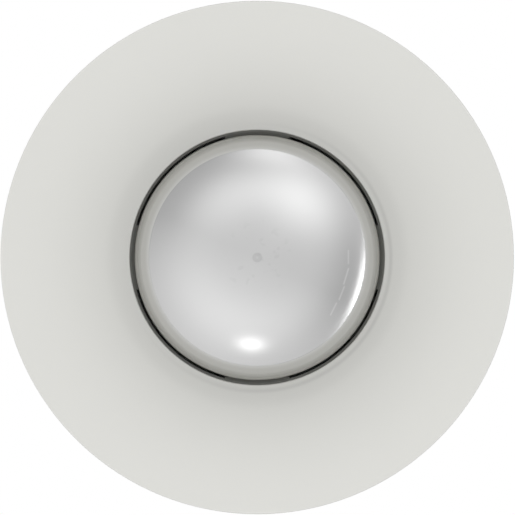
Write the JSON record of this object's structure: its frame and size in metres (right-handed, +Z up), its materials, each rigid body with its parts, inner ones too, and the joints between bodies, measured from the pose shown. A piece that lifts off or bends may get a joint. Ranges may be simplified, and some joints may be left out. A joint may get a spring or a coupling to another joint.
{
  "type": "presence detector",
  "caption": "Flush-mounted ceiling presence detector: flared white cover ring, milky domed lens in a dark slotted ledge, steel frame and round cup for the device box.",
  "frame": {"origin": "middle of the frame's upper face, which lies on the ceiling, between the box screws", "axes": "+Z up into the ceiling along the lens axis, so the lens looks along -Z; +Y towards the side with the terminal screws; +X along one pair of box screws"},
  "size_m": [0.105, 0.105, 0.0516],
  "materials": {
    "cover_plastic": "satin white moulding",
    "lens_plastic": "milky polished lens moulding",
    "housing_plastic": "dark grey moulding",
    "frame_steel": "zinc plated sheet",
    "cup_plastic": "grey moulding",
    "screw_steel": "zinc plated",
    "board_laminate": "green solder mask",
    "carrier_plastic": "black moulding",
    "sensor_can": "nickel plated can with dark window",
    "receiver_epoxy": "dark infrared epoxy",
    "light_epoxy": "clear epoxy package",
    "led_epoxy": "red diffused epoxy",
    "chip_epoxy": "black epoxy with tinned legs",
    "crystal_can": "pressed can",
    "connector_plastic": "black moulding with tinned pins",
    "relay_case": "blue case",
    "film_case": "yellow case",
    "capacitor_sleeve": "black sleeve with bare top",
    "varistor_coat": "blue epoxy coat",
    "rectifier_epoxy": "black epoxy",
    "resistor_coat": "green flameproof coat",
    "choke_winding": "dark ferrite with sleeve",
    "terminal_plastic": "light grey moulding",
    "clamp_metal": "tinned brass cage"
  },
  "bodies": {
    "root": {"cover_ring": "cover_plastic", "lens_dome": "lens_plastic", "front_housing": "housing_plastic", "support_frame": "frame_steel", "rear_housing": "cup_plastic", "housing_screws": "screw_steel", "sensor_board_screws": "screw_steel", "power_board_screws": "screw_steel", "sensor_board": "board_laminate", "sensor_carrier": "carrier_plastic", "pir_sensor_east": "sensor_can", "pir_sensor_north": "sensor_can", "pir_sensor_west": "sensor_can", "pir_sensor_south": "sensor_can", "ir_receiver": "receiver_epoxy", "light_sensor": "light_epoxy", "status_led": "led_epoxy", "microcontroller": "chip_epoxy", "crystal": "crystal_can", "board_socket": "connector_plastic", "board_header": "connector_plastic", "power_board": "board_laminate", "relay": "relay_case", "film_capacitor": "film_case", "electrolytic_capacitor": "capacitor_sleeve", "varistor": "varistor_coat", "bridge_rectifier": "rectifier_epoxy", "fusible_resistor": "resistor_coat", "choke": "choke_winding", "terminal_block": "terminal_plastic", "terminal_clamps": "clamp_metal", "terminal_screws": "screw_steel"}
  },
  "joints": []
}
